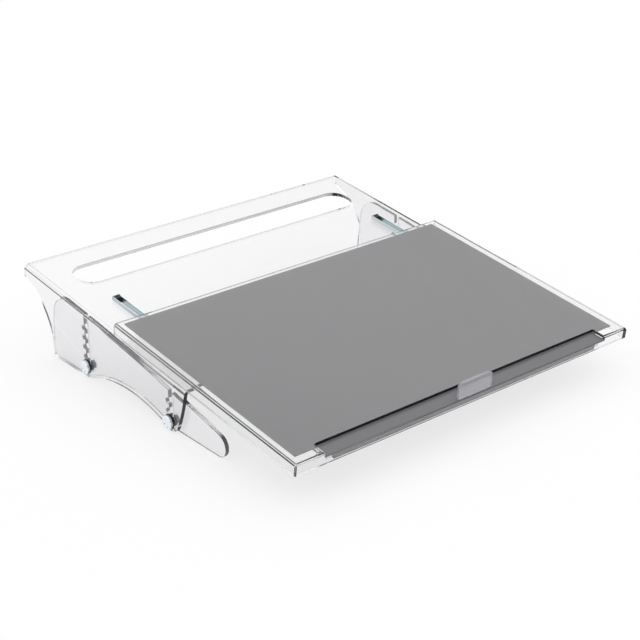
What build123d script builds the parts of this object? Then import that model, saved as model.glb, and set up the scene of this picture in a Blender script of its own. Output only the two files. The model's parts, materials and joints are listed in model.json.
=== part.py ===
from build123d import *
import os
from math import cos, radians, sin

os.makedirs("parts", exist_ok=True)

# A clear acrylic document holder that stands over a desk. Its sloping panel
# has a long pen slot and carries a pull-out writing platform on two
# telescopic ball slides. Two leg plates inside the side walls set its height.
#
# Sizes are millimetres. X runs across the desk and +Y points to the back.
# "down" is a distance down the slope from the panel's back edge, and "up" is
# a height above the panel's top face, square to the panel.

# ---- Housing: one bent sheet ----
panel_width = 515.0
panel_depth = 350.0
back_height = 106.3           # the panel's top face above the desk, at its back edge
slope = 7.1                   # degrees, falling towards the front
sheet = 5.0                   # wall of the housing and of the leg plates
bend_radius = 3.0             # inside the bends
back_lip = 18.5               # depth of the wall's straight back edge
back_lip_corner = 5.0
scoop_radius = 80.0           # concave sweep from the back lip down to the rear foot
rear_foot_back = 71.0         # down, where the rear foot starts
rear_foot_front = 150.0       # down, where the rear foot ends
rear_foot_corner = 6.0
arch_height = 18.0            # the arch between the feet of a wall
front_foot_length = 25.0      # from the arch to the panel's front edge, down the slope
front_lean = 14.0             # how far the wall's front edge runs back by the desk
front_edge_radius = 260.0
front_corner = 12.0           # rounded foot at the wall's front edge

# ---- Pen slot, cut through the panel ----
slot_length = 442.0
slot_width = 47.5
slot_corner = 22.0
slot_margin = 39.5            # panel's back edge to the slot

# ---- Leg plates ----
leg_gap = 0.5                 # between wall and leg, filled by the spacing washers
leg_back_down = 65.0
leg_back_round = 30.0
leg_top_drop = 8.8            # top edge under the panel's top face, at the back
leg_top_crown = 5.5
leg_rear_foot_front = 148.0
leg_front_foot_inset = 20.0   # the leg's arch ends this far behind the panel's front edge
leg_arch_height = 20.5
leg_nose_radius = 14.2
leg_nose_reach = 60.0         # the nose's lowest point, past the panel's front edge
leg_slot_width = 6.5
notch_pitch = 13.0
notch_counts = (4, 2)         # of the rear and front slots
notch_reach = 6.0             # a notch's length to the rear of its slot
notch_drop = 2.5

# ---- Clamp screws through wall and leg ----
rear_screw_down = 147.0
rear_screw_height = 14.7      # above the desk
front_screw_inset = 27.0      # from the panel's front edge
front_screw_height = 10.8
screw_radius = 2.5
screw_clearance = 0.08
screw_head_radius = 9.0
screw_head_height = 4.0
screw_head_round = 1.2
head_recess_radius = 5.5
head_recess_depth = 0.8
head_washer_radius = 9.4
head_washer = 0.8
spacing_washer_radius = 6.5
face_clearance = 0.05         # between flat faces that slide on each other
nut_radius = 7.0
nut_flange = 1.4
nut_across_flats = 10.0
nut_height = 6.0
screw_tip = 1.6               # thread beyond the nut

# ---- Telescopic slides ----
slide_inset = 48.5            # slide's centre line from the panel's side edge
slide_back = 135.0            # down, the outer member's back end
slide_front_inset = 14.0      # panel's front edge to the outer member's front end
outer_width = 10.0
member_wall = 0.7
floor_wall = 0.7
floor_gap = 0.4               # between the floors of nested members
race_gap = 0.7                # between the facing walls that the balls run in
member_height = 5.0
inner_top = 6.2               # the inner member stands proud to carry the platform
ball_diameter = 1.0
race_clearance = 0.03
race_height = 3.4
cage_thickness = 0.3
cage_floor = 0.2
cage_end_gap = 2.0            # a drawn-out cage to the ends of its members
cage_window_clearance = 0.08
balls_per_side = 2
stop_length = 7.0
stop_hole_radius = 1.2
stop_corner_radius = 0.6
stop_gap = 0.5
over_travel = 4.0             # the platform's stroke past the outer member's length
floor_slot_length = 5.0       # slots in the outer member's floor
floor_slot_width = 2.4
slots_per_bay = 4             # between neighbouring screws
ear_height = 0.9              # upturned ears at the outer member's back end
ear_length = 3.0
rail_screw_count = 4
rail_screw_radius = 1.0
rail_screw_head = 1.8
rail_screw_grip = 3.6         # thread in the panel
rail_screw_end = 18.0         # from the outer member's ends

# ---- Writing platform ----
platform_closed_down = 1.0    # its back edge from the panel's back edge, when closed
platform_shorter = 9.0        # than the panel
cover_sheet = 4.0
cover_bend = 0.5              # inside the cover's bends
cover_height = 15.0
cover_clearance = 0.6         # flange above the panel
notch_width = 435.0
notch_depth = 20.0            # through the top and its front bend, down to the mat
notch_corner = 3.0
mat_sheet = 2.0
mat_side_inset = 12.0
mat_back_inset = 4.0
mat_front_inset = 16.0        # beside the notch
tongue_clearance = 0.3        # the mat's tongue in the notch
front_bar_height = 8.7
front_bar_depth = 5.0
front_bar_clearance = 0.8     # beside the outer members
stop_width = 52.0
stop_height = 22.0
stop_depth = 4.0
stop_corner = 6.5
strip_width = 19.0
strip_front_inset = 10.0
strip_back_inset = 6.0
strip_screw_count = 3
strip_screw_end = 14.0        # from the inner member's ends
strip_screw_grip = 2.6
strip_screw_head = 1.4
strip_screw_head_height = 0.8

# ---- Worked-out sizes ----
half_width = panel_width / 2
wall_inside = half_width - sheet
leg_outside = wall_inside - leg_gap
leg_inside = leg_outside - sheet
slide_x = half_width - slide_inset
slope_sin = sin(radians(slope))
slope_cos = cos(radians(slope))
through = panel_width + 100.0      # longer than anything that it cuts

rear_screw_spot = (rear_screw_down, rear_screw_height)
front_screw_spot = (panel_depth - front_screw_inset, front_screw_height)
outer_length = panel_depth - slide_front_inset - slide_back
platform_depth = panel_depth - platform_shorter
travel = outer_length + over_travel

outer_inside = outer_width / 2 - member_wall
middle_outside = outer_inside - race_gap
middle_inside = middle_outside - member_wall
inner_outside = middle_inside - race_gap
middle_floor = floor_wall + floor_gap
inner_floor = middle_floor + floor_wall + floor_gap
race_radius = ball_diameter / 2 + race_clearance
outer_ball_x = (outer_inside + middle_outside) / 2
inner_ball_x = (middle_inside + inner_outside) / 2
member_back = slide_back + stop_length + stop_gap
member_length = outer_length - stop_length - stop_gap
member_overlap = member_length - travel / 2
cage_length = member_overlap - 2 * cage_end_gap

cover_top = cover_clearance + cover_height
mat_top = cover_top - cover_sheet
mat_bottom = mat_top - mat_sheet
platform_back = platform_closed_down + travel
platform_front = platform_back + platform_depth
strip_height = mat_bottom - inner_top

# Everything on the slope is drawn flat, with the panel's top face at Z = 0
# and its back edge at Y = 0, and is then tilted onto its place.
tilt = Location((0, 0, back_height), (slope, 0, 0))


# ---- Helpers ----

def side(down, up):
    """Side-elevation point (y, z) of a point given down the slope and above the panel."""
    return (-down * slope_cos - up * slope_sin, back_height - down * slope_sin + up * slope_cos)


def over_desk(down, height):
    """Side-elevation point square below the panel at 'down', at a height above the desk."""
    up = (height - back_height + down * slope_sin) / slope_cos
    return side(down, up)


def on_desk(down):
    return over_desk(down, 0)


def nearest_corner(face, point):
    """The outline's corner nearest to a side-elevation point."""
    return face.vertices().sort_by_distance((point[0], point[1], 0))[0]


def run(section, back, length):
    """Extrude a cross-section down the slope, from 'back' on."""
    return Pos(0, -back, 0) * extrude(Plane.XZ * section, amount=length)


def block(width, depth, height, back, bottom):
    """A flat bar on the slope, centred across, from 'back' down and 'bottom' up."""
    return Pos(0, -back - depth / 2, bottom + height / 2) * Box(width, depth, height)


def upright(face, x, thickness):
    """Extrude a side elevation across the desk, from x on."""
    return Pos(x, 0, 0) * extrude(Plane.YZ * face, amount=thickness)


def across(radius, length, x, point):
    """A cylinder along X that starts at x, at a side-elevation point."""
    return Pos(x + length / 2, point[0], point[1]) * Rot(0, 90, 0) * Cylinder(radius, length)


def bent_section(width, height, wall, inside_radius):
    """Cross-section of a sheet with both sides bent down, its top at zero."""
    outer = Pos(0, -height / 2) * Rectangle(width, height)
    outer = fillet(outer.vertices().group_by(Axis.Y)[-1], inside_radius + wall)
    inner = Pos(0, -height / 2 - wall) * Rectangle(width - 2 * wall, height)
    inner = fillet(inner.vertices().group_by(Axis.Y)[-1], inside_radius)
    return outer - inner


def foot_arch(rear_end, peak_height, front_end):
    """The arc of the arch between a plate's feet, from rear to front."""
    middle_y = (rear_end[0] + front_end[0]) / 2
    return ThreePointArc(rear_end, (middle_y, peak_height), front_end)


def place(part):
    """Stand a part drawn on the flat panel onto the slope."""
    return tilt * part


# ---- Housing ----

def wall_outline():
    """Side elevation of the housing's walls, carried a little above the panel."""
    clear = 3 * sheet
    lip = side(0, -back_lip)
    heel = on_desk(rear_foot_back)
    rear_end = on_desk(rear_foot_front)
    front_end = on_desk(panel_depth - front_foot_length)
    toe = on_desk(panel_depth - front_lean)
    front_top = side(panel_depth, 0)
    edges = [
        RadiusArc(lip, heel, -scoop_radius),
        Line(heel, rear_end),
        foot_arch(rear_end, arch_height, front_end),
        Line(front_end, toe),
        RadiusArc(toe, front_top, front_edge_radius),
        Line(front_top, side(panel_depth, clear)),
        Line(side(panel_depth, clear), side(0, clear)),
        Line(side(0, clear), lip),
    ]
    face = make_face(edges)
    face = fillet(nearest_corner(face, lip), back_lip_corner)
    face = fillet(nearest_corner(face, heel), rear_foot_corner)
    return fillet(nearest_corner(face, toe), front_corner)


def rail_screw_spots():
    """Distances down of the screws that hold an outer member."""
    first = slide_back + rail_screw_end
    last = slide_back + outer_length - rail_screw_end
    step = (last - first) / (rail_screw_count - 1)
    return [first + step * index for index in range(rail_screw_count)]


def make_housing():
    wall_height = back_height + sheet
    flat = run(bent_section(panel_width, wall_height, sheet, bend_radius), 0, panel_depth)
    slot = Pos(0, -slot_margin - slot_width / 2) * RectangleRounded(slot_length, slot_width, slot_corner)
    flat -= extrude(slot, amount=2 * sheet, both=True)
    for x in (-slide_x, slide_x):
        for down in rail_screw_spots():
            hole_radius = rail_screw_radius + face_clearance
            flat -= Pos(x, -down, -rail_screw_grip / 2) * Cylinder(hole_radius, rail_screw_grip + 0.4)
    walls = upright(wall_outline(), -half_width - 1, panel_width + 2)
    housing = place(flat) & walls
    for spot in (rear_screw_spot, front_screw_spot):
        housing -= across(screw_radius + screw_clearance, through, -through / 2, over_desk(*spot))
    return housing


# ---- Legs ----

def leg_outline():
    """Side elevation of a leg plate, before its slots."""
    back_foot = on_desk(leg_back_down)
    back_top = side(leg_back_down, -leg_top_drop)
    rear_end = on_desk(leg_rear_foot_front)
    front_end = on_desk(panel_depth - leg_front_foot_inset)
    nose_y = on_desk(panel_depth + leg_nose_reach)[0]
    nose_rise = 12.0
    nose_top = (
        nose_y - leg_nose_radius * sin(radians(nose_rise)),
        leg_nose_radius * (1 + cos(radians(nose_rise))),
    )
    nose_tip = (nose_y - leg_nose_radius, leg_nose_radius)
    middle = ((back_top[0] + nose_top[0]) / 2, (back_top[1] + nose_top[1]) / 2 + leg_top_crown)
    edges = [
        Line(back_foot, rear_end),
        foot_arch(rear_end, leg_arch_height, front_end),
        Line(front_end, (nose_y, 0)),
        ThreePointArc((nose_y, 0), nose_tip, nose_top),
        ThreePointArc(nose_top, middle, back_top),
        Line(back_top, back_foot),
    ]
    face = make_face(edges)
    face = fillet(nearest_corner(face, back_top), leg_back_round)
    return fillet(nearest_corner(face, back_foot), rear_foot_corner)


def leg_slot(spot, notches):
    """Open slot above a clamp screw, with hooked notches to its rear."""
    y, z = over_desk(*spot)
    slot = Pos(y, z) * Circle(leg_slot_width / 2)
    slot += Pos(y, z + back_height / 2) * Rectangle(leg_slot_width, back_height)
    for number in range(1, notches + 1):
        seat = (y + notch_reach, z + number * notch_pitch - notch_drop)
        mouth = (y, z + number * notch_pitch)
        path = Line(mouth, seat)
        slot += Pos(*seat) * Circle(leg_slot_width / 2)
        angle = path.tangent_angle_at(0.5)
        centre = ((mouth[0] + seat[0]) / 2, (mouth[1] + seat[1]) / 2)
        slot += Pos(*centre) * Rot(0, 0, angle) * Rectangle(path.length, leg_slot_width)
    return slot


def make_leg():
    """The right leg plate."""
    face = leg_outline()
    for spot, notches in zip((rear_screw_spot, front_screw_spot), notch_counts):
        face -= leg_slot(spot, notches)
    return upright(face, leg_inside, sheet)


# ---- Clamp hardware, drawn for the right wall ----

def make_clamp_screw(point):
    """Thumbscrew with a round, recessed head outside the wall."""
    head_inside = half_width + head_washer
    head = Pos(0, 0, screw_head_height / 2) * Cylinder(screw_head_radius, screw_head_height)
    head = fillet(head.edges().group_by(Axis.Z)[-1], screw_head_round)
    recess_middle = screw_head_height - head_recess_depth / 2
    head -= Pos(0, 0, recess_middle) * Cylinder(head_recess_radius, head_recess_depth)
    head = Pos(head_inside, point[0], point[1]) * Rot(0, 90, 0) * head
    shank_end = leg_inside - face_clearance - nut_height - screw_tip
    shank = across(screw_radius, head_inside - shank_end, shank_end, point)
    return head + shank


def make_ring(radius, bore, thickness, x, point):
    ring = across(radius, thickness, x, point)
    return ring - across(bore, thickness + 2, x - 1, point)


def make_nut(point):
    """Flanged hexagon nut inside the leg."""
    face_x = leg_inside - face_clearance
    flange = across(nut_radius, nut_flange, face_x - nut_flange, point)
    hexagon = extrude(RegularPolygon(nut_across_flats / 2, 6, major_radius=False), amount=nut_height)
    nut = flange + Pos(face_x - nut_height, point[0], point[1]) * Rot(0, 90, 0) * hexagon
    return nut - across(screw_radius + face_clearance, nut_height + 2, face_x - nut_height - 1, point)


# ---- Telescopic slide, drawn on its own centre line ----

def race_pair(centre_x):
    """The two round ball grooves at a distance from the centre line."""
    return [Pos(x, race_height) * Circle(race_radius) for x in (-centre_x, centre_x)]


def trough(half, floor_bottom, top):
    """Cross-section of a rolled member, open side up."""
    height = top - floor_bottom
    outer = Pos(0, floor_bottom + height / 2) * Rectangle(2 * half, height)
    outer = fillet(outer.vertices().group_by(Axis.Y)[0], member_wall / 2)
    inner = Pos(0, floor_bottom + floor_wall + height / 2) * Rectangle(2 * (half - member_wall), height)
    return outer - inner


def floor_slot_spots():
    """Distances down of the slots, evenly spread between neighbouring screws."""
    screws = rail_screw_spots()
    step = (screws[1] - screws[0]) / (slots_per_bay + 1)
    return [screw + step * number for screw in screws[:-1] for number in range(1, slots_per_bay + 1)]


def make_outer_member():
    section = trough(outer_width / 2, 0, member_height)
    for race in race_pair(outer_ball_x):
        section -= race
    member = run(section, slide_back, outer_length)
    for down in rail_screw_spots():
        hole = Cone(rail_screw_radius + face_clearance, rail_screw_head + face_clearance, floor_wall)
        member -= Pos(0, -down, floor_wall / 2) * hole
    slot = extrude(Rot(0, 0, 90) * SlotOverall(floor_slot_length, floor_slot_width), amount=floor_wall)
    for down in floor_slot_spots():
        member -= Pos(0, -down, 0) * slot
    wall_x = (outer_width - member_wall) / 2
    for x in (-wall_x, wall_x):
        ear = block(member_wall, ear_length, ear_height, slide_back, member_height)
        member += Pos(x, 0, 0) * ear
    return member


def make_middle_member():
    section = trough(middle_outside, middle_floor, member_height)
    for centre_x in (outer_ball_x, inner_ball_x):
        for race in race_pair(centre_x):
            section -= race
    return run(section, member_back + travel / 2, member_length)


def strip_screw_spots():
    """Distances down of the screws that hold the inner member to the platform."""
    first = member_back + travel + strip_screw_end
    last = first + member_length - 2 * strip_screw_end
    step = (last - first) / (strip_screw_count - 1)
    return [first + step * index for index in range(strip_screw_count)]


def make_inner_member():
    height = inner_top - inner_floor
    outer = Pos(0, inner_floor + height / 2) * Rectangle(2 * inner_outside, height)
    outer = fillet(outer.vertices().group_by(Axis.Y)[-1], member_wall / 2)
    inner = Pos(0, inner_floor + height / 2 - floor_wall) * Rectangle(2 * (inner_outside - member_wall), height)
    section = outer - inner
    for race in race_pair(inner_ball_x):
        section -= race
    member = run(section, member_back + travel, member_length)
    for down in strip_screw_spots():
        hole = Cylinder(rail_screw_radius + face_clearance, 2 * floor_wall)
        member -= Pos(0, -down, inner_top - floor_wall / 2) * hole
    return member


def ball_spots(back):
    """Distances down of one side's balls in a cage that starts at 'back'."""
    step = cage_length / balls_per_side
    return [back + step * (index + 0.5) for index in range(balls_per_side)]


def make_cage(centre_x, floor_bottom, back):
    """Retainer: a thin trough with a window for each ball."""
    top = race_height + ball_diameter
    outer_half = centre_x + cage_thickness / 2
    height = top - floor_bottom
    outer = Pos(0, floor_bottom + height / 2) * Rectangle(2 * outer_half, height)
    inner = Pos(0, floor_bottom + cage_floor + height / 2) * Rectangle(2 * (outer_half - cage_thickness), height)
    cage = run(outer - inner, back, cage_length)
    window = ball_diameter / 2 + cage_window_clearance
    for down in ball_spots(back):
        cage -= Pos(0, -down, race_height) * Rot(0, 90, 0) * Cylinder(window, 4 * outer_half)
    return cage


def make_balls(centre_x, back):
    balls = []
    for down in ball_spots(back):
        for x in (-centre_x, centre_x):
            balls.append(Pos(x, -down, race_height) * Sphere(ball_diameter / 2))
    return balls


def cage_backs():
    """Where the two cages of a drawn-out slide start: outer stage, inner stage."""
    middle_back = member_back + travel / 2
    outer_front = slide_back + outer_length
    inner_back = member_back + travel
    middle_front = middle_back + member_length
    outer_stage = (outer_front + middle_back - cage_length) / 2
    inner_stage = (middle_front + inner_back - cage_length) / 2
    return outer_stage, inner_stage


def make_slide_stop():
    """Black bumper in the outer member's back end."""
    width = 2 * (outer_inside - face_clearance)
    stop = block(width, stop_length, member_height - floor_wall, slide_back, floor_wall)
    stop = fillet(stop.edges().filter_by(Axis.Z), stop_corner_radius)
    return stop - Pos(0, -slide_back - stop_length / 2, member_height / 2) * Cylinder(stop_hole_radius, member_height)


def make_rail_screws():
    screws = []
    for down in rail_screw_spots():
        head = Pos(0, -down, floor_wall / 2) * Cone(rail_screw_radius, rail_screw_head, floor_wall)
        screws.append(head + Pos(0, -down, -rail_screw_grip / 2) * Cylinder(rail_screw_radius, rail_screw_grip))
    return screws


def make_strip_screws():
    """Screws from inside the inner member up into the platform's strip."""
    screws = []
    under_top = inner_top - floor_wall
    grip = floor_wall + strip_screw_grip
    for down in strip_screw_spots():
        head_middle = under_top - strip_screw_head_height / 2
        head = Pos(0, -down, head_middle) * Cylinder(strip_screw_head, strip_screw_head_height)
        shank = Pos(0, -down, under_top + grip / 2) * Cylinder(rail_screw_radius, grip)
        screws.append(head + shank)
    return screws


# ---- Writing platform ----

def folded_block(width, back, top, radius):
    """A block of the cover's depth and height with its side and front top edges rounded."""
    solid = block(width, platform_depth, cover_height, back, top - cover_height)
    top_edges = solid.edges().group_by(Axis.Z)[-1]
    folds = top_edges.sort_by(Axis.Y)[:3]
    return fillet(folds, radius)


def make_cover():
    """Sheet bent down at both sides and along the front, open at the back."""
    outside = folded_block(panel_width, platform_back, cover_top, cover_bend + cover_sheet)
    inside = folded_block(panel_width - 2 * cover_sheet, platform_back - cover_sheet, mat_top, cover_bend)
    notch = Pos(0, -platform_front) * RectangleRounded(notch_width, 2 * notch_depth, notch_corner)
    return outside - inside - Pos(0, 0, mat_bottom) * extrude(notch, amount=cover_height)


def make_mat():
    """Sheet under the cover, with a tongue that fills the notch."""
    width = panel_width - 2 * mat_side_inset
    depth = platform_depth - mat_back_inset - mat_front_inset
    mat = block(width, depth, mat_sheet, platform_back + mat_back_inset, mat_bottom)
    tongue_width = notch_width - 2 * tongue_clearance
    return mat + block(tongue_width, notch_depth, mat_sheet, platform_front - notch_depth, mat_bottom)


def make_front_bar():
    """Bar behind the cover's front flange, under the mat and between the slides."""
    bottom = mat_bottom - front_bar_height
    width = 2 * (slide_x - outer_width / 2 - front_bar_clearance)
    back = platform_front - cover_sheet - front_bar_depth
    return block(width, front_bar_depth, front_bar_height, back, bottom)


def make_document_stop():
    """Upright tab on the mat, flush with the platform's front edge."""
    face = Pos(0, mat_top + stop_height / 2) * Rectangle(stop_width, stop_height)
    face = fillet(face.vertices().group_by(Axis.Y)[-1], stop_corner)
    return run(face, platform_front - stop_depth, stop_depth)


def make_strip():
    back = platform_back + strip_back_inset
    length = platform_depth - strip_back_inset - strip_front_inset
    strip = block(strip_width, length, strip_height, back, inner_top)
    for down in strip_screw_spots():
        depth = strip_screw_grip + 0.2
        hole = Cylinder(rail_screw_radius + face_clearance, depth)
        strip -= Pos(0, -down, inner_top + depth / 2) * hole
    return strip


# ---- Assembly ----

def both_sides(name, right):
    """A right-hand part and its mirror image."""
    parts = right if isinstance(right, list) else [right]
    return {
        "left_" + name: [mirror(part, about=Plane.YZ) for part in parts],
        "right_" + name: parts,
    }


def on_right_slide(parts):
    """Put parts drawn on a slide's centre line onto the slope, at the right slide."""
    parts = parts if isinstance(parts, list) else [parts]
    return [place(Pos(slide_x, 0, 0) * part) for part in parts]


outer_cage_back, inner_cage_back = cage_backs()
outer_cage_floor = floor_wall + (floor_gap - cage_floor) / 2
inner_cage_floor = middle_floor + outer_cage_floor
screw_points = {"rear": over_desk(*rear_screw_spot), "front": over_desk(*front_screw_spot)}

nodes = {"housing": [make_housing()]}
nodes.update(both_sides("leg", make_leg()))
spacing_washer = leg_gap - face_clearance
head_washers = []
spacing_washers = []
clamp_nuts = []
for end, point in screw_points.items():
    bore = screw_radius + screw_clearance
    nodes.update(both_sides(end + "_thumbscrew", make_clamp_screw(point)))
    head_washers += [make_ring(head_washer_radius, bore, head_washer, half_width, point)]
    spacing_washers += [make_ring(spacing_washer_radius, bore, spacing_washer, wall_inside - spacing_washer, point)]
    clamp_nuts += [make_nut(point)]
for name, rings in (("head_washers", head_washers), ("spacing_washers", spacing_washers), ("clamp_nuts", clamp_nuts)):
    nodes[name] = rings + [mirror(ring, about=Plane.YZ) for ring in rings]

slide_parts = {
    "slide_outer_member": make_outer_member(),
    "slide_middle_member": make_middle_member(),
    "slide_inner_member": make_inner_member(),
    "outer_ball_cage": make_cage(outer_ball_x, outer_cage_floor, outer_cage_back),
    "inner_ball_cage": make_cage(inner_ball_x, inner_cage_floor, inner_cage_back),
    "outer_balls": make_balls(outer_ball_x, outer_cage_back),
    "inner_balls": make_balls(inner_ball_x, inner_cage_back),
    "slide_stop": make_slide_stop(),
    "rail_screws": make_rail_screws(),
    "strip_screws": make_strip_screws(),
    "spacer_strip": make_strip(),
}
for name, parts in slide_parts.items():
    nodes.update(both_sides(name, on_right_slide(parts)))

nodes["platform_cover"] = [place(make_cover())]
nodes["writing_mat"] = [place(make_mat())]
nodes["front_bar"] = [place(make_front_bar())]
nodes["document_stop"] = [place(make_document_stop())]

# The origin is the middle of the footprint, on the desk.
everything = Compound([part for parts in nodes.values() for part in parts])
bounds = everything.bounding_box()
centring = Pos(0, -(bounds.min.Y + bounds.max.Y) / 2, 0)
print("centring shift in y:", round(centring.position.Y, 3))
for name, parts in nodes.items():
    placed = [centring * part for part in parts]
    export_step(placed[0] if len(placed) == 1 else Compound(placed), "parts/" + name + ".step")
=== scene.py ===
"""Dresses a clear acrylic document holder with a pull-out writing platform."""

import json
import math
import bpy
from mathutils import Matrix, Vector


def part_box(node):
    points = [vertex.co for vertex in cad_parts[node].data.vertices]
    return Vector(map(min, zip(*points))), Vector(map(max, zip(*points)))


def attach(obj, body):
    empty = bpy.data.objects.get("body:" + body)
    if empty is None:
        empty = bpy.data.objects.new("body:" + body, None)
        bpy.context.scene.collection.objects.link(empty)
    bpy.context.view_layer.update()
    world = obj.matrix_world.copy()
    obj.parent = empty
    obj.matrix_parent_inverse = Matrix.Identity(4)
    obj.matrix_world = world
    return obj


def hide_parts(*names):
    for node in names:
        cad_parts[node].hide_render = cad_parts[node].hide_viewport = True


bl_info = {
    "name": "Document Holder",
    "version": (1, 0, 0),
    "blender": (4, 5, 0),
    "location": "View3D > Sidebar > Holder",
    "description": "Finishes the sheets, slides and clamp screws of a document holder",
    "category": "Object",
}

import bmesh
import bpy
from bpy.props import FloatProperty, FloatVectorProperty, IntProperty, PointerProperty
from mathutils import Matrix, Vector

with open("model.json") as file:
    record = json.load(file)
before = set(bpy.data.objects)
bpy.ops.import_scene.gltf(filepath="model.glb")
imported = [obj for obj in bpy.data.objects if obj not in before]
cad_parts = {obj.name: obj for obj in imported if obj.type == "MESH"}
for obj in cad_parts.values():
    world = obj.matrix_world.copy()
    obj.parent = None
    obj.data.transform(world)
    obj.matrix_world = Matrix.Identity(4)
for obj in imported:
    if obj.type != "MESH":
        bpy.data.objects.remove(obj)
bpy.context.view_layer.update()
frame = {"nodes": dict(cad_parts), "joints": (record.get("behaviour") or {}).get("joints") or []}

MM = 0.001
SIDES = ("left", "right")
ENDS = ("rear", "front")
ACROSS = Vector((1, 0, 0))

# Meshes: distances in metres, angles in degrees
MERGE_DISTANCE = 1e-6
LEVEL_ANGLE = 0.5
EASED_EDGE_ANGLE = 40
EASED_EDGE_STEPS = 3
SHEET_CREASE = 14
TURNED_CREASE = 30
BROAD_FACE_WIDTH = 6 * MM
TURNED_SIDES = 48
TOOTH_SIDES = 8
THREAD_SIDES = 24

# Materials
ACRYLIC_IOR = 1.49
PLASTIC_IOR = 1.5
EDGE_GREY = (0.50, 0.50, 0.52)
BALL_COLOUR = (0.75, 0.76, 0.78)
ALONG_SLIDE = (1, 0.04, 1)

# Stage: places in metres, angles in degrees
FLOOR_REACH = 40.0
FLOOR_DROP = 0.2 * MM
LAMP_WIDTH = 90
LAMP_FROM = Vector((0.55, 0.42, 0.85))
SENSOR_WIDTH = 36.0
CAMERA_PLACE = (-1.1148, -1.3684, 0.8553)
CAMERA_TURN = (65.381, 0.653, -39.436)


# ---- What the frame gives ----

def joint_axis(name):
    """Unit direction of a joint of the frame."""
    for joint in frame["joints"]:
        if joint["name"] == name:
            return Vector(joint["axis"]).normalized()
    raise RuntimeError("the frame has no joint named " + name)


DOWN_SLOPE = joint_axis("platform_slide")
UP_FROM_SLOPE = ACROSS.cross(-DOWN_SLOPE)
SLOPE_TURN = Matrix((ACROSS, -DOWN_SLOPE, UP_FROM_SLOPE)).transposed().to_4x4()


def solid_middles(node):
    """Middle of each separate solid in a CAD node."""
    bm = bmesh.new()
    bm.from_mesh(frame["nodes"][node].data)
    bmesh.ops.remove_doubles(bm, verts=bm.verts, dist=MERGE_DISTANCE)
    waiting = set(bm.verts)
    middles = []
    while waiting:
        reached = [waiting.pop()]
        solid = []
        while reached:
            vertex = reached.pop()
            solid.append(vertex.co.copy())
            for edge in vertex.link_edges:
                neighbour = edge.other_vert(vertex)
                if neighbour in waiting:
                    waiting.remove(neighbour)
                    reached.append(neighbour)
        low = Vector([min(point[axis] for point in solid) for axis in range(3)])
        high = Vector([max(point[axis] for point in solid) for axis in range(3)])
        middles.append((low + high) / 2)
    bm.free()
    return sorted(middles, key=lambda point: -point.y)


# ---- Pieces ----

def add_piece(name, mesh, material, body, nodes):
    """Put a finished mesh on its body in place of its CAD nodes."""
    piece = bpy.data.objects.new(name, mesh)
    bpy.context.scene.collection.objects.link(piece)
    mesh.materials.clear()
    mesh.materials.append(material)
    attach(piece, body)
    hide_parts(*nodes)
    return piece


def repaint(node, material):
    """Give a CAD node a better material."""
    piece = frame["nodes"][node]
    piece.data.materials.clear()
    piece.data.materials.append(material)


def evaluated_mesh(carrier, name):
    """Plain mesh of an object with its modifiers, which are then gone."""
    graph = bpy.context.evaluated_depsgraph_get()
    mesh = bpy.data.meshes.new_from_object(carrier.evaluated_get(graph))
    mesh.name = name
    bpy.data.objects.remove(carrier)
    return mesh


def smooth_by_angle(mesh, degrees):
    """Smooth shading, with a sharp edge where faces turn by more than the angle."""
    mesh.shade_smooth()
    mesh.set_sharp_from_angle(angle=math.radians(degrees))


def flatten_broad_faces(mesh, least_width):
    """Broad flat faces keep their own normal, whatever their eased edges do."""
    for face in mesh.polygons:
        corners = [mesh.vertices[index].co for index in face.vertices]
        girth = sum((a - b).length for a, b in zip(corners, corners[1:] + corners[:1]))
        if face.area > least_width * girth / 2:
            face.use_smooth = False


def finished_sheet(node, name, contact_gap, edge_radius):
    """A CAD node's mesh, a hair smaller all round, with its sharp edges eased."""
    bm = bmesh.new()
    bm.from_mesh(frame["nodes"][node].data)
    bmesh.ops.remove_doubles(bm, verts=bm.verts, dist=MERGE_DISTANCE)
    bm.normal_update()
    moves = [(v, v.normal * (v.calc_shell_factor() * contact_gap)) for v in bm.verts]
    for vertex, move in moves:
        vertex.co -= move
    level = math.radians(LEVEL_ANGLE)
    bmesh.ops.dissolve_limit(bm, angle_limit=level, verts=bm.verts, edges=bm.edges)
    mesh = bpy.data.meshes.new(name)
    bm.to_mesh(mesh)
    bm.free()
    carrier = bpy.data.objects.new(name + "_carrier", mesh)
    bpy.context.scene.collection.objects.link(carrier)
    bevel = carrier.modifiers.new("eased_edges", "BEVEL")
    bevel.width = edge_radius
    bevel.segments = EASED_EDGE_STEPS
    bevel.limit_method = "ANGLE"
    bevel.angle_limit = math.radians(EASED_EDGE_ANGLE)
    bevel.use_clamp_overlap = True
    mesh = evaluated_mesh(carrier, name)
    smooth_by_angle(mesh, SHEET_CREASE)
    flatten_broad_faces(mesh, BROAD_FACE_WIDTH)
    return mesh


def ring_mesh(name, rings, angles):
    """Closed turned form about Z. A ring is (radius or rule of the angle, height)."""
    bm = bmesh.new()
    loops = []
    for radius, height in rings:
        loop = []
        for angle in angles:
            reach = radius(angle) if callable(radius) else radius
            point = (reach * math.cos(angle), reach * math.sin(angle), height)
            loop.append(bm.verts.new(point))
        loops.append(loop)
    count = len(angles)
    for lower, upper in zip(loops, loops[1:]):
        for index in range(count):
            after = (index + 1) % count
            bm.faces.new((lower[index], lower[after], upper[after], upper[index]))
    bm.faces.new(reversed(loops[0]))
    bm.faces.new(loops[-1])
    bmesh.ops.recalc_face_normals(bm, faces=bm.faces)
    mesh = bpy.data.meshes.new(name)
    bm.to_mesh(mesh)
    bm.free()
    smooth_by_angle(mesh, TURNED_CREASE)
    return mesh


def round_angles(count):
    """Even steps round a full turn."""
    return [2 * math.pi * index / count for index in range(count)]


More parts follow.
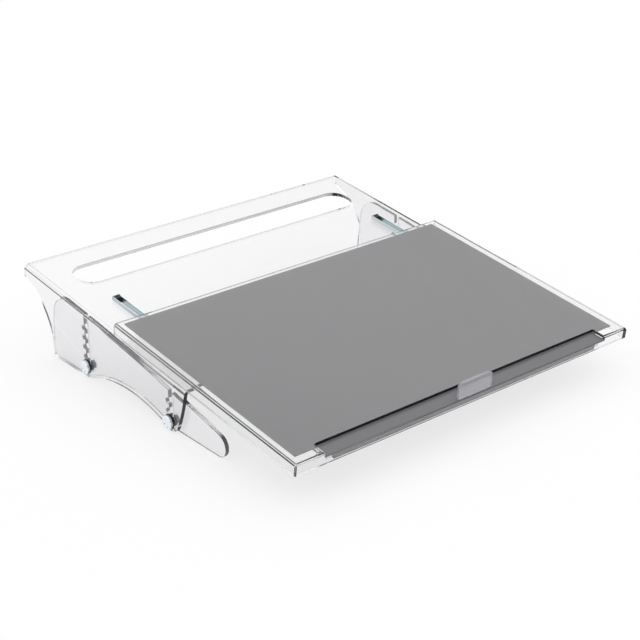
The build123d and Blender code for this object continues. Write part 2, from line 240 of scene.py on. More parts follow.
def cross_rule(arm, half):
    """Outline of a cross recess as a rule of the angle."""
    def reach(angle):
        across = max(abs(math.cos(angle)), 1e-6)
        upward = max(abs(math.sin(angle)), 1e-6)
        return max(min(arm / across, half / upward), min(arm / upward, half / across))
    return reach


def cross_angles(arm, half):
    """Angles of a cross recess's corners, with one more beside each."""
    tip = math.atan2(half, arm)
    inner = math.pi / 4
    steps = (-tip, 0, tip, (tip + inner) / 2, inner, math.pi / 2 - (tip + inner) / 2)
    return [quarter * math.pi / 2 + step for quarter in range(4) for step in steps]


# ---- Geometry Nodes ----

def new_tree(name, inputs):
    """Node group with a mesh in and out, and the named inputs between."""
    tree = bpy.data.node_groups.new(name, "GeometryNodeTree")
    tree.interface.new_socket("Geometry", in_out="INPUT", socket_type="NodeSocketGeometry")
    for label, kind in inputs:
        tree.interface.new_socket(label, in_out="INPUT", socket_type=kind)
    tree.interface.new_socket("Geometry", in_out="OUTPUT", socket_type="NodeSocketGeometry")
    return tree, tree.nodes.new("NodeGroupInput"), tree.nodes.new("NodeGroupOutput")


def finish_tree(tree, group_in, group_out, instances):
    """Every tree ends in Realize Instances and Set Material."""
    realize = tree.nodes.new("GeometryNodeRealizeInstances")
    paint = tree.nodes.new("GeometryNodeSetMaterial")
    tree.links.new(instances, realize.inputs["Geometry"])
    tree.links.new(realize.outputs["Geometry"], paint.inputs["Geometry"])
    tree.links.new(group_in.outputs["Material"], paint.inputs["Material"])
    tree.links.new(paint.outputs["Geometry"], group_out.inputs["Geometry"])


def screw_row_tree():
    """One screw on each vertex of the mesh, all turned the same way."""
    inputs = (
        ("Screw", "NodeSocketObject"),
        ("Turn", "NodeSocketRotation"),
        ("Material", "NodeSocketMaterial"),
    )
    tree, group_in, group_out = new_tree("screw_row", inputs)
    info = tree.nodes.new("GeometryNodeObjectInfo")
    rows = tree.nodes.new("GeometryNodeInstanceOnPoints")
    tree.links.new(group_in.outputs["Screw"], info.inputs["Object"])
    tree.links.new(group_in.outputs["Geometry"], rows.inputs["Points"])
    tree.links.new(info.outputs["Geometry"], rows.inputs["Instance"])
    tree.links.new(group_in.outputs["Turn"], rows.inputs["Rotation"])
    finish_tree(tree, group_in, group_out, rows.outputs["Instances"])
    return tree


def knurled_screw_tree():
    """The turned screw that comes in, with teeth round its rim and turns of thread."""
    inputs = (
        ("Teeth", "NodeSocketInt"),
        ("Rim Radius", "NodeSocketFloat"),
        ("Tooth Radius", "NodeSocketFloat"),
        ("Tooth Length", "NodeSocketFloat"),
        ("Tooth Height", "NodeSocketFloat"),
        ("Thread Turns", "NodeSocketInt"),
        ("Thread Pitch", "NodeSocketFloat"),
        ("Thread Radius", "NodeSocketFloat"),
        ("Thread Depth", "NodeSocketFloat"),
        ("Thread End", "NodeSocketFloat"),
        ("Material", "NodeSocketMaterial"),
    )
    tree, group_in, group_out = new_tree("knurled_screw", inputs)
    node = tree.nodes.new
    link = tree.links.new

    rim = node("GeometryNodeMeshCircle")
    tooth = node("GeometryNodeMeshCylinder")
    tooth.inputs["Vertices"].default_value = TOOTH_SIDES
    teeth = node("GeometryNodeInstanceOnPoints")
    lift_by = node("ShaderNodeCombineXYZ")
    lift = node("GeometryNodeTransform")
    link(group_in.outputs["Teeth"], rim.inputs["Vertices"])
    link(group_in.outputs["Rim Radius"], rim.inputs["Radius"])
    link(group_in.outputs["Tooth Radius"], tooth.inputs["Radius"])
    link(group_in.outputs["Tooth Length"], tooth.inputs["Depth"])
    link(rim.outputs["Mesh"], teeth.inputs["Points"])
    link(tooth.outputs["Mesh"], teeth.inputs["Instance"])
    link(group_in.outputs["Tooth Height"], lift_by.inputs["Z"])
    link(teeth.outputs["Instances"], lift.inputs["Geometry"])
    link(lift_by.outputs["Vector"], lift.inputs["Translation"])

    step = node("ShaderNodeCombineXYZ")
    start = node("ShaderNodeCombineXYZ")
    line = node("GeometryNodeMeshLine")
    turn = node("GeometryNodeMeshCone")
    turn.inputs["Vertices"].default_value = THREAD_SIDES
    turn_inner = node("ShaderNodeMath")
    turn_inner.operation = "SUBTRACT"
    thread = node("GeometryNodeInstanceOnPoints")
    link(group_in.outputs["Thread Pitch"], step.inputs["Z"])
    link(group_in.outputs["Thread End"], start.inputs["Z"])
    link(group_in.outputs["Thread Turns"], line.inputs["Count"])
    link(start.outputs["Vector"], line.inputs["Start Location"])
    link(step.outputs["Vector"], line.inputs["Offset"])
    link(group_in.outputs["Thread Radius"], turn_inner.inputs[0])
    link(group_in.outputs["Thread Depth"], turn_inner.inputs[1])
    link(group_in.outputs["Thread Radius"], turn.inputs["Radius Bottom"])
    link(turn_inner.outputs["Value"], turn.inputs["Radius Top"])
    link(group_in.outputs["Thread Pitch"], turn.inputs["Depth"])
    link(line.outputs["Mesh"], thread.inputs["Points"])
    link(turn.outputs["Mesh"], thread.inputs["Instance"])

    join = node("GeometryNodeJoinGeometry")
    link(group_in.outputs["Geometry"], join.inputs["Geometry"])
    link(lift.outputs["Geometry"], join.inputs["Geometry"])
    link(thread.outputs["Instances"], join.inputs["Geometry"])
    finish_tree(tree, group_in, group_out, join.outputs["Geometry"])
    return tree


def grown_mesh(name, start_mesh, tree, values):
    """Plain mesh that a tree makes from a start mesh and named input values."""
    carrier = bpy.data.objects.new(name + "_carrier", start_mesh)
    bpy.context.scene.collection.objects.link(carrier)
    grow = carrier.modifiers.new("grow", "NODES")
    grow.node_group = tree
    for item in tree.interface.items_tree:
        if item.in_out == "INPUT" and item.name in values:
            grow[item.identifier] = values[item.name]
    return evaluated_mesh(carrier, name)


# ---- Materials ----

def new_material(name):
    """Node material and its Principled shader, with Object coordinates ready."""
    material = bpy.data.materials.new(name)
    material.use_nodes = True
    nodes = material.node_tree.nodes
    shader = nodes["Principled BSDF"]
    coordinates = nodes.new("ShaderNodeTexCoord")
    return material, shader, coordinates.outputs["Object"]


def noise(material, vector, scale, detail, stretch=(1, 1, 1)):
    """Noise on Object coordinates, stretched where a grain needs it."""
    nodes = material.node_tree.nodes
    mapping = nodes.new("ShaderNodeMapping")
    mapping.inputs["Scale"].default_value = stretch
    texture = nodes.new("ShaderNodeTexNoise")
    texture.inputs["Scale"].default_value = scale
    texture.inputs["Detail"].default_value = detail
    material.node_tree.links.new(vector, mapping.inputs["Vector"])
    material.node_tree.links.new(mapping.outputs["Vector"], texture.inputs["Vector"])
    return texture.outputs["Fac"]


def between(material, factor, low, high):
    """Map a 0 to 1 factor onto a range of values."""
    ranged = material.node_tree.nodes.new("ShaderNodeMapRange")
    ranged.inputs["To Min"].default_value = low
    ranged.inputs["To Max"].default_value = high
    material.node_tree.links.new(factor, ranged.inputs["Value"])
    return ranged.outputs["Result"]


# The mix node has sockets of one name for each data type, so colours go by place.
MIX_FACTOR, MIX_FIRST, MIX_SECOND, MIX_RESULT = 0, 6, 7, 2


def blended(material, factor, first, second):
    """Colour that runs from first to second with a factor."""
    mix = material.node_tree.nodes.new("ShaderNodeMix")
    mix.data_type = "RGBA"
    mix.inputs[MIX_FIRST].default_value = (*first, 1)
    mix.inputs[MIX_SECOND].default_value = (*second, 1)
    material.node_tree.links.new(factor, mix.inputs[MIX_FACTOR])
    return mix.outputs[MIX_RESULT]


def bumped(material, shader, height, distance, strength=1.0):
    """Fine relief on a shader's normal."""
    bump = material.node_tree.nodes.new("ShaderNodeBump")
    bump.inputs["Distance"].default_value = distance
    bump.inputs["Strength"].default_value = strength
    material.node_tree.links.new(height, bump.inputs["Height"])
    material.node_tree.links.new(bump.outputs["Normal"], shader.inputs["Normal"])


def scaled(colour, factor):
    """A colour with each channel times a factor."""
    return tuple(channel * factor for channel in colour)


def clear_acrylic(name, colour, haze, absorption, milk=0.0):
    """Polished clear sheet with faint handling haze, grey where it is seen through its depth."""
    material, shader, vector = new_material(name)
    shader.inputs["Transmission Weight"].default_value = 1.0 - milk
    shader.inputs["IOR"].default_value = ACRYLIC_IOR
    nodes = material.node_tree.nodes
    body = nodes.new("ShaderNodeVolumeAbsorption")
    body.inputs["Color"].default_value = (*EDGE_GREY, 1)
    body.inputs["Density"].default_value = absorption
    link = material.node_tree.links.new
    link(body.outputs["Volume"], nodes["Material Output"].inputs["Volume"])
    smudges = noise(material, vector, scale=18, detail=3)
    link(between(material, smudges, 0.0, haze), shader.inputs["Roughness"])
    link(blended(material, smudges, colour, scaled(colour, 0.995)), shader.inputs["Base Color"])
    return material


def frosted_acrylic(name, colour, clearness, least_rough):
    """Pale satin sheet that lets light through softly."""
    material, shader, vector = new_material(name)
    shader.inputs["Transmission Weight"].default_value = clearness
    shader.inputs["IOR"].default_value = ACRYLIC_IOR
    grain = noise(material, vector, scale=900, detail=2)
    most_rough = least_rough + 0.15
    link = material.node_tree.links.new
    link(between(material, grain, least_rough, most_rough), shader.inputs["Roughness"])
    link(blended(material, grain, scaled(colour, 0.96), colour), shader.inputs["Base Color"])
    bumped(material, shader, grain, distance=0.03 * MM)
    return material


def satin_sheet(name, colour):
    """Smoky sheet with a fine grain in its gloss."""
    material, shader, vector = new_material(name)
    shader.inputs["IOR"].default_value = PLASTIC_IOR
    shader.inputs["Specular IOR Level"].default_value = 0.38
    grain = noise(material, vector, scale=1400, detail=2)
    cloud = noise(material, vector, scale=6, detail=2)
    darker, lighter = scaled(colour, 0.94), scaled(colour, 1.06)
    link = material.node_tree.links.new
    link(between(material, grain, 0.30, 0.34), shader.inputs["Roughness"])
    link(blended(material, cloud, darker, lighter), shader.inputs["Base Color"])
    return material


def bright_metal(name, colour, rough, stretch=(1, 1, 1)):
    """Plated or drawn metal, with a grain that follows the stretch."""
    material, shader, vector = new_material(name)
    shader.inputs["Metallic"].default_value = 1.0
    grain = noise(material, vector, scale=260, detail=4, stretch=stretch)
    link = material.node_tree.links.new
    link(between(material, grain, rough * 0.7, rough * 1.3), shader.inputs["Roughness"])
    link(blended(material, grain, scaled(colour, 0.9), colour), shader.inputs["Base Color"])
    bumped(material, shader, grain, distance=0.01 * MM, strength=0.3)
    return material


def black_nylon(name, colour):
    """Moulded black plastic with a slight pebble."""
    material, shader, vector = new_material(name)
    shader.inputs["IOR"].default_value = PLASTIC_IOR
    pebble = noise(material, vector, scale=1600, detail=2)
    darker, lighter = scaled(colour, 0.7), scaled(colour, 1.3)
    link = material.node_tree.links.new
    link(between(material, pebble, 0.4, 0.55), shader.inputs["Roughness"])
    link(blended(material, pebble, darker, lighter), shader.inputs["Base Color"])
    bumped(material, shader, pebble, distance=0.02 * MM)
    return material


# ---- Settings ----

class SheetSettings(bpy.types.PropertyGroup):
    """Finish of the acrylic sheets."""

    contact_gap: FloatProperty(
        name="Contact Gap", description="Air left between sheets that meet",
        default=0.03 * MM, precision=5, subtype="DISTANCE", unit="LENGTH",
    )
    edge_radius: FloatProperty(
        name="Edge Radius", description="Easing of the polished edges",
        default=1.0 * MM, precision=5, subtype="DISTANCE", unit="LENGTH",
    )
    absorption: FloatProperty(
        name="Absorption",
        description="How fast the clear sheet takes up light per metre, which greys its edges",
        default=28.0, min=0,
    )
    leg_milk: FloatProperty(
        name="Leg Milkiness", description="Share of light that the leg plates scatter",
        default=0.05, min=0, max=1, subtype="FACTOR",
    )
    clear_colour: FloatVectorProperty(
        name="Clear Colour", description="Body colour of the clear sheet",
        default=(0.995, 0.993, 0.997), size=3, min=0, max=1, subtype="COLOR",
    )
    leg_colour: FloatVectorProperty(
        name="Leg Colour", description="Body colour of the leg plates",
        default=(0.985, 0.98, 0.995), size=3, min=0, max=1, subtype="COLOR",
    )
    haze: FloatProperty(
        name="Haze", description="Most roughness of the polished faces",
        default=0.01, min=0, max=1, subtype="FACTOR",
    )
    stop_milk: FloatProperty(
        name="Stop Milkiness", description="Share of light that the document stop scatters",
        default=0.2, min=0, max=1, subtype="FACTOR",
    )
    mat_colour: FloatVectorProperty(
        name="Mat Colour", description="Colour of the writing mat",
        default=(0.15, 0.149, 0.16), size=3, min=0, max=1, subtype="COLOR",
    )
    stop_colour: FloatVectorProperty(
        name="Stop Colour", description="Colour of the document stop",
        default=(0.88, 0.87, 0.91), size=3, min=0, max=1, subtype="COLOR",
    )
    bar_colour: FloatVectorProperty(
        name="Bar Colour", description="Colour of the bar under the platform's front",
        default=(0.42, 0.42, 0.44), size=3, min=0, max=1, subtype="COLOR",
    )


class HardwareSettings(bpy.types.PropertyGroup):
    """Clamp screws and slides."""

    knurl_teeth: IntProperty(
        name="Knurl Teeth", description="Teeth round a thumbscrew's rim", default=36, min=8,
    )
    tooth_radius: FloatProperty(
        name="Tooth Radius", description="Radius of one tooth of the rim",
        default=0.5 * MM, precision=5, subtype="DISTANCE", unit="LENGTH",
    )
    thread_pitch: FloatProperty(
        name="Thread Pitch", description="Pitch of the clamp screw's thread",
        default=0.8 * MM, precision=5, subtype="DISTANCE", unit="LENGTH",
    )
    chrome_colour: FloatVectorProperty(
        name="Screw Colour", description="Plating of the thumbscrews",
        default=(0.90, 0.96, 1.0), size=3, min=0, max=1, subtype="COLOR",
    )
    slide_colour: FloatVectorProperty(
        name="Slide Colour", description="Zinc plate of the slides",
        default=(0.72, 0.79, 0.81), size=3, min=0, max=1, subtype="COLOR",
    )
    nylon_colour: FloatVectorProperty(
        name="Nylon Colour", description="Nuts, washers and slide stops",
        default=(0.012, 0.012, 0.014), size=3, min=0, max=1, subtype="COLOR",
    )


class StageSettings(bpy.types.PropertyGroup):
    """Floor, light and camera."""

    floor_colour: FloatVectorProperty(
        name="Floor Colour", description="Colour of the plain floor",
        default=(0.97, 0.97, 0.97), size=3, min=0, max=1, subtype="COLOR",
    )
    floor_white_share: FloatProperty(
        name="Floor White Share", description="How far the floor is plain background white",
        default=0.75, min=0, max=1, subtype="FACTOR",
    )
    sweep_strength: FloatProperty(
        name="Sweep Strength", description="Brightness of the pale sweep at the horizon",
        default=0.98, min=0,
    )
    sweep_top: FloatProperty(
        name="Sweep Top", description="Sine of the angle up to which the sweep is pale",
        default=0.205, min=0, max=1,
    )
    wall_strength: FloatProperty(
        name="Wall Strength", description="Soft light from the dim walls", default=0.05, min=0,
    )
    wall_top: FloatProperty(
        name="Wall Top", description="Sine of the angle at which the walls are dimmest",
        default=0.28, min=0, max=1,
    )
    ceiling_edge: FloatProperty(
        name="Ceiling Edge", description="Sine of the angle from which the bright ceiling is full",
        default=0.65, min=0, max=1,
    )
    overhead_strength: FloatProperty(
        name="Overhead Strength", description="Soft light from above", default=1.08, min=0,
    )
    lamp_strength: FloatProperty(
        name="Lamp Strength", description="Broad lamp that gives the soft shadow",
        default=0.5, min=0,
    )
    lens: FloatProperty(
        name="Lens", description="Focal length on a 36 mm wide sensor", default=87.85, min=10,
    )


# ---- Operators ----

class HOLDER_OT_housing(bpy.types.Operator):
    """Finish the bent housing sheet with its pen slot"""

    bl_idname = "holder.housing"
    bl_label = "Housing"

    def execute(self, context):
        settings = context.scene.holder_sheets
        gap, edge = settings.contact_gap, settings.edge_radius
        haze, absorption = settings.haze, settings.absorption
        material = clear_acrylic("clear_housing_sheet", settings.clear_colour, haze, absorption)
        mesh = finished_sheet("housing", "housing_sheet", gap, edge)
        add_piece("housing_sheet", mesh, material, "housing", ["housing"])
        return {"FINISHED"}


class HOLDER_OT_legs(bpy.types.Operator):
    """Finish the two notched leg plates"""

    bl_idname = "holder.legs"
    bl_label = "Leg Plates"

    def execute(self, context):
        settings = context.scene.holder_sheets
        gap, edge = settings.contact_gap, settings.edge_radius / 2
        haze, milk = settings.haze, settings.leg_milk
        material = clear_acrylic("clear_leg_sheet", settings.leg_colour, haze, 0.0, milk)
        for side in SIDES:
            node = side + "_leg"
            name = node + "_sheet"
            mesh = finished_sheet(node, name, gap, edge)
            add_piece(name, mesh, material, node, [node])
        return {"FINISHED"}


class HOLDER_OT_thumbscrews(bpy.types.Operator):
    """Make the four knurled clamp screws"""

    bl_idname = "holder.thumbscrews"
    bl_label = "Thumbscrews"

    def execute(self, context):
        settings = context.scene.holder_hardware
        material = bright_metal("chrome_screw", settings.chrome_colour, rough=0.12)
        tree = knurled_screw_tree()
        for side in SIDES:
            for end in ENDS:
                self.make_screw(side + "_" + end + "_thumbscrew", side, tree, settings, material)
        return {"FINISHED"}

    def make_screw(self, node, side, tree, settings, material):
        """A turned screw along Z, head up, grown teeth and thread, laid along X."""
        low, high = (Vector(corner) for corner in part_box(node))
        length = high.x - low.x
        rim = (high.z - low.z) / 2
        tooth = settings.tooth_radius
        body_radius = rim - tooth
        head = 4.0 * MM
        edge_chamfer = 0.4 * MM
        crown_width = 1.0 * MM
        crown_step = 0.3 * MM
        recess = 0.62 * rim
        recess_lip = 0.3 * MM
        recess_slope = 0.4 * MM
        recess_depth = 0.8 * MM
        floor_radius = 0.8 * MM
        shank = 2.5 * MM
        tip = head - length
        tip_chamfer = 0.6 * MM
        threaded = 14 * MM
        thread_start = 0.7 * MM
        thread_turns = 17
        thread_depth = settings.thread_pitch * 0.5
        tooth_margin = 0.8 * MM
        tooth_drop = 0.1 * MM
        rings = [
            (shank - tip_chamfer, tip),
            (shank - thread_depth, tip + tip_chamfer),
            (shank - thread_depth, tip + threaded),
            (shank, tip + threaded),
            (shank, 0),
            (body_radius - edge_chamfer, 0),
            (body_radius, edge_chamfer),
            (body_radius, head - crown_width),
            (body_radius - crown_step, head - edge_chamfer),
            (body_radius - crown_width, head),
            (recess + recess_lip, head),
            (recess, head - recess_lip),
            (recess - recess_slope, head - recess_depth),
            (floor_radius, head - recess_depth),
        ]
        start = ring_mesh(node + "_turned", rings, round_angles(TURNED_SIDES))
        values = {
            "Teeth": settings.knurl_teeth,
            "Rim Radius": body_radius,
            "Tooth Radius": tooth,
            "Tooth Length": head - 2 * tooth_margin,
            "Tooth Height": head / 2 - tooth_drop,
            "Thread Turns": thread_turns,
            "Thread Pitch": settings.thread_pitch,
            "Thread Radius": shank,
            "Thread Depth": thread_depth,
            "Thread End": tip + thread_start,
            "Material": material,
        }
        mesh = grown_mesh(node + "_knurled", start, tree, values)
        centre = (low + high) / 2
        if side == "right":
            turn = Matrix.Rotation(math.pi / 2, 4, "Y")
            root = Vector((high.x - head, centre.y, centre.z))
        else:
            turn = Matrix.Rotation(-math.pi / 2, 4, "Y")
            root = Vector((low.x + head, centre.y, centre.z))
        mesh.transform(Matrix.Translation(root) @ turn)
        smooth_by_angle(mesh, TURNED_CREASE)
        add_piece(node + "_knurled", mesh, material, node, [node])


class HOLDER_OT_nylon(bpy.types.Operator):
    """Colour the nuts, washers and slide stops"""

    bl_idname = "holder.nylon"
    bl_label = "Nuts and Washers"

    def execute(self, context):
        material = black_nylon("moulded_nylon", context.scene.holder_hardware.nylon_colour)
        names = ["head_washers", "spacing_washers", "clamp_nuts"]
        names += [side + "_slide_stop" for side in SIDES]
        for name in names:
            repaint(name, material)
        return {"FINISHED"}


class HOLDER_OT_slides(bpy.types.Operator):
    """Finish the telescopic slides with their cages and balls"""

    bl_idname = "holder.slides"
    bl_label = "Ball Slides"

    def execute(self, context):
        settings = context.scene.holder_hardware
        cage_colour = scaled(settings.slide_colour, 0.8)
        member = bright_metal("zinc_slide", settings.slide_colour, 0.22, ALONG_SLIDE)
        cage = bright_metal("strip_steel", cage_colour, 0.3, ALONG_SLIDE)
        balls = bright_metal("polished_ball", BALL_COLOUR, rough=0.05)
        for side in SIDES:
            for part in ("slide_outer_member", "slide_middle_member", "slide_inner_member"):
                repaint(side + "_" + part, member)
            for part in ("outer_ball_cage", "inner_ball_cage"):
                repaint(side + "_" + part, cage)
            for part in ("outer_balls", "inner_balls"):
                repaint(side + "_" + part, balls)
        return {"FINISHED"}


class HOLDER_OT_slide_screws(bpy.types.Operator):
    """Make the rows of cross-recessed screws that hold the slides"""

    bl_idname = "holder.slide_screws"
    bl_label = "Slide Screws"

    def execute(self, context):
        settings = context.scene.holder_hardware
        material = bright_metal("screw_steel", settings.slide_colour, rough=0.18)
        tree = screw_row_tree()
        for side in SIDES:
            self.make_row(side + "_rail_screws", "housing", 1, tree, material)
            self.make_row(side + "_strip_screws", "platform", -1, tree, material)
        return {"FINISHED"}

    def make_row(self, node, body, upright, tree, material):
        """A row whose heads face up the slope's normal (1) or away from it (-1)."""
        middles = solid_middles(node)
        low, high = self.reach(node, middles)
        tip, tip_length = 0.4 * MM, 0.6 * MM
        shank = 0.95 * MM
        sunk_head, sunk_depth = 1.78 * MM, 0.7 * MM
        pan_head, pan_depth = 1.38 * MM, 0.8 * MM
        pan_top, pan_chamfer = 1.2 * MM, 0.2 * MM
        arm, half = 0.9 * MM, 0.2 * MM
        cross_depth = min(0.5 * MM, (high - low) / 4)
        rings = [(tip, low), (shank, low + tip_length)]
        if upright > 0:
            rings += [(shank, high - sunk_depth), (sunk_head, high)]
        else:
            rings += [(shank, high - pan_depth), (pan_head, high - pan_depth)]
            rings += [(pan_head, high - pan_chamfer), (pan_top, high)]
        cross = cross_rule(arm, half)
        rings += [(cross, high), (cross, high - cross_depth)]
        screw_mesh = ring_mesh(node + "_screw", rings, cross_angles(arm, half))
        screw = bpy.data.objects.new(node + "_screw", screw_mesh)
        bpy.context.scene.collection.objects.link(screw)
        points = bpy.data.meshes.new(node + "_points")
        points.from_pydata([tuple(point) for point in middles], [], [])
        turn = SLOPE_TURN if upright > 0 else SLOPE_TURN @ Matrix.Rotation(math.pi, 4, "X")
        values = {"Screw": screw, "Turn": turn.to_euler(), "Material": material}
        mesh = grown_mesh(node + "_row", points, tree, values)
        bpy.data.objects.remove(screw)
        smooth_by_angle(mesh, TURNED_CREASE)
        add_piece(node + "_row", mesh, material, body, [node])

    def reach(self, node, middles):
        """How far a screw reaches below and above its own middle."""
        first = middles[0]
        own_reach = 5 * MM
        heights = []
        for vertex in frame["nodes"][node].data.vertices:
            offset = vertex.co - first
            if offset.length < own_reach:
                heights.append(offset.dot(UP_FROM_SLOPE))
        return min(heights), max(heights)


class HOLDER_OT_platform(bpy.types.Operator):
    """Finish the platform's cover, strips, bar and document stop"""

    bl_idname = "holder.platform"
    bl_label = "Platform"

    def execute(self, context):
        settings = context.scene.holder_sheets
        gap, edge = settings.contact_gap, settings.edge_radius
        haze, absorption, milk = settings.haze, settings.absorption, settings.stop_milk
        clear = clear_acrylic("clear_cover_sheet", settings.clear_colour, haze, absorption)
        milky = clear_acrylic("milky_stop_tab", settings.stop_colour, haze, 0.0, milk)
        frosted = frosted_acrylic(
            "frosted_bar", settings.bar_colour, clearness=0.45, least_rough=0.35,
        )
        cover = finished_sheet("platform_cover", "cover_sheet", gap, edge)
        add_piece(
            "cover_sheet", cover, clear, "platform", ["platform_cover"],
        )
        stop = finished_sheet("document_stop", "stop_tab", gap, edge)
        add_piece("stop_tab", stop, milky, "platform", ["document_stop"])
        bar = finished_sheet("front_bar", "bar_strip", gap, edge)
        add_piece("bar_strip", bar, frosted, "platform", ["front_bar"])
        for side in SIDES:
            node = side + "_spacer_strip"
            strip = finished_sheet(node, node + "_sheet", gap, edge)
            add_piece(node + "_sheet", strip, clear, "platform", [node])
        return {"FINISHED"}


class HOLDER_OT_mat(bpy.types.Operator):
    """Finish the grey writing mat"""

    bl_idname = "holder.mat"
    bl_label = "Writing Mat"

    def execute(self, context):
        settings = context.scene.holder_sheets
        material = satin_sheet("smoky_mat", settings.mat_colour)
        gap, edge = settings.contact_gap, settings.edge_radius / 2
        mesh = finished_sheet("writing_mat", "mat_sheet", gap, edge)
        add_piece("mat_sheet", mesh, material, "platform", ["writing_mat"])
        return {"FINISHED"}


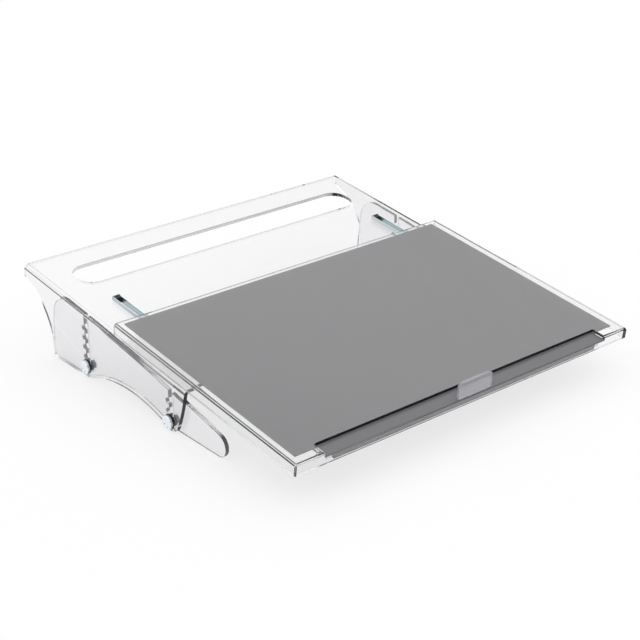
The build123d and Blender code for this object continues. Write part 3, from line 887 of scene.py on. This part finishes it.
class HOLDER_OT_stage(bpy.types.Operator):
    """Set out the floor, the light and the camera"""

    bl_idname = "holder.stage"
    bl_label = "Stage"

    def execute(self, context):
        settings = context.scene.holder_stage
        self.make_floor(settings)
        self.make_sky(settings)
        self.make_lamp(settings)
        self.make_camera(settings)
        context.scene.view_settings.view_transform = "Standard"
        return {"FINISHED"}

    def make_floor(self, settings):
        """Wide plain floor, a hair below the feet."""
        mesh = bpy.data.meshes.new("floor")
        signs = ((-1, -1), (1, -1), (1, 1), (-1, 1))
        corners = [(FLOOR_REACH * x, FLOOR_REACH * y, 0) for x, y in signs]
        mesh.from_pydata(corners, [], [(0, 1, 2, 3)])
        material, shader, vector = new_material("plain_floor")
        shader.inputs["Specular IOR Level"].default_value = 0.0
        cloud = noise(material, vector, scale=2, detail=2)
        link = material.node_tree.links.new
        colour = settings.floor_colour
        darker = scaled(colour, 0.995)
        link(blended(material, cloud, colour, darker), shader.inputs["Base Color"])
        link(between(material, cloud, 0.9, 1.0), shader.inputs["Roughness"])
        self.whiten(material, shader, settings.floor_white_share)
        mesh.materials.append(material)
        floor = bpy.data.objects.new("floor", mesh)
        floor.location.z = -FLOOR_DROP
        bpy.context.scene.collection.objects.link(floor)

    def whiten(self, material, shader, share):
        """Mix the floor's shading with white where it is looked at, as a background."""
        nodes, links = material.node_tree.nodes, material.node_tree.links
        path = nodes.new("ShaderNodeLightPath")
        white = nodes.new("ShaderNodeEmission")
        mix = nodes.new("ShaderNodeMixShader")
        seen = path.outputs["Is Camera Ray"]
        for kind in ("Is Glossy Ray", "Is Transmission Ray"):
            either = nodes.new("ShaderNodeMath")
            either.operation = "MAXIMUM"
            links.new(seen, either.inputs[0])
            links.new(path.outputs[kind], either.inputs[1])
            seen = either.outputs["Value"]
        part = nodes.new("ShaderNodeMath")
        part.operation = "MULTIPLY"
        part.inputs[1].default_value = share
        links.new(seen, part.inputs[0])
        links.new(part.outputs["Value"], mix.inputs["Fac"])
        links.new(shader.outputs["BSDF"], mix.inputs[1])
        links.new(white.outputs["Emission"], mix.inputs[2])
        links.new(mix.outputs["Shader"], nodes["Material Output"].inputs["Surface"])

    def make_sky(self, settings):
        """Pale sweep at the horizon, dim walls above it and a bright ceiling."""
        world = bpy.context.scene.world or bpy.data.worlds.new("soft_sky")
        bpy.context.scene.world = world
        world.use_nodes = True
        nodes, links = world.node_tree.nodes, world.node_tree.links
        nodes.clear()
        output = nodes.new("ShaderNodeOutputWorld")
        sky = nodes.new("ShaderNodeBackground")
        sky.inputs["Color"].default_value = (1, 1, 1, 1)
        direction = nodes.new("ShaderNodeTexCoord")
        height = nodes.new("ShaderNodeSeparateXYZ")
        ramp = nodes.new("ShaderNodeMapRange")
        ramp.interpolation_type = "SMOOTHSTEP"
        ramp.inputs["From Min"].default_value = settings.wall_top
        ramp.inputs["From Max"].default_value = settings.ceiling_edge
        ramp.inputs["To Min"].default_value = settings.wall_strength
        ramp.inputs["To Max"].default_value = settings.overhead_strength
        links.new(direction.outputs["Generated"], height.inputs["Vector"])
        links.new(height.outputs["Z"], ramp.inputs["Value"])
        sweep = nodes.new("ShaderNodeMapRange")
        sweep.inputs["From Min"].default_value = settings.sweep_top
        sweep.inputs["From Max"].default_value = settings.wall_top
        sweep.inputs["To Min"].default_value = settings.sweep_strength
        sweep.inputs["To Max"].default_value = 0.0
        brighter = nodes.new("ShaderNodeMath")
        brighter.operation = "MAXIMUM"
        links.new(height.outputs["Z"], sweep.inputs["Value"])
        links.new(ramp.outputs["Result"], brighter.inputs[0])
        links.new(sweep.outputs["Result"], brighter.inputs[1])
        links.new(brighter.outputs["Value"], sky.inputs["Strength"])
        links.new(sky.outputs["Background"], output.inputs["Surface"])

    def make_lamp(self, settings):
        """Broad lamp behind and to the right, so the shadow falls in front and to the left."""
        light = bpy.data.lights.new("broad_lamp", "SUN")
        light.energy = settings.lamp_strength
        light.angle = math.radians(LAMP_WIDTH)
        lamp = bpy.data.objects.new("broad_lamp", light)
        lamp.rotation_euler = LAMP_FROM.to_track_quat("Z", "Y").to_euler()
        bpy.context.scene.collection.objects.link(lamp)

    def make_camera(self, settings):
        """Camera in front of the holder's left corner, looking down on it."""
        camera_data = bpy.data.cameras.new("camera")
        camera_data.lens = settings.lens
        camera_data.sensor_width = SENSOR_WIDTH
        camera = bpy.data.objects.new("camera", camera_data)
        camera.location = CAMERA_PLACE
        camera.rotation_euler = [math.radians(angle) for angle in CAMERA_TURN]
        bpy.context.scene.collection.objects.link(camera)
        bpy.context.scene.camera = camera


class HOLDER_PT_sidebar(bpy.types.Panel):
    """Lists the pieces and their settings"""

    bl_idname = "HOLDER_PT_sidebar"
    bl_label = "Document Holder"
    bl_space_type = "VIEW_3D"
    bl_region_type = "UI"
    bl_category = "Holder"

    def draw(self, context):
        layout = self.layout
        for operator in OPERATORS:
            layout.operator(operator.bl_idname)
        for group in SETTINGS:
            settings = getattr(context.scene, group)
            box = layout.box()
            for name in settings.bl_rna.properties.keys():
                if name not in ("rna_type", "name"):
                    box.prop(settings, name)


SETTINGS = {
    "holder_sheets": SheetSettings,
    "holder_hardware": HardwareSettings,
    "holder_stage": StageSettings,
}
OPERATORS = (
    HOLDER_OT_housing,
    HOLDER_OT_legs,
    HOLDER_OT_thumbscrews,
    HOLDER_OT_nylon,
    HOLDER_OT_slides,
    HOLDER_OT_slide_screws,
    HOLDER_OT_platform,
    HOLDER_OT_mat,
    HOLDER_OT_stage,
)


def register():
    for name, settings in SETTINGS.items():
        bpy.utils.register_class(settings)
        setattr(bpy.types.Scene, name, PointerProperty(type=settings))
    for operator in OPERATORS:
        bpy.utils.register_class(operator)
    bpy.utils.register_class(HOLDER_PT_sidebar)


def unregister():
    bpy.utils.unregister_class(HOLDER_PT_sidebar)
    for operator in reversed(OPERATORS):
        bpy.utils.unregister_class(operator)
    for name, settings in SETTINGS.items():
        delattr(bpy.types.Scene, name)
        bpy.utils.unregister_class(settings)


def main():
    """Make every piece."""
    register()
    bpy.ops.holder.housing()
    bpy.ops.holder.legs()
    bpy.ops.holder.thumbscrews()
    bpy.ops.holder.nylon()
    bpy.ops.holder.slides()
    bpy.ops.holder.slide_screws()
    bpy.ops.holder.platform()
    bpy.ops.holder.mat()
    bpy.ops.holder.stage()


if __name__ == "__main__":
    main()
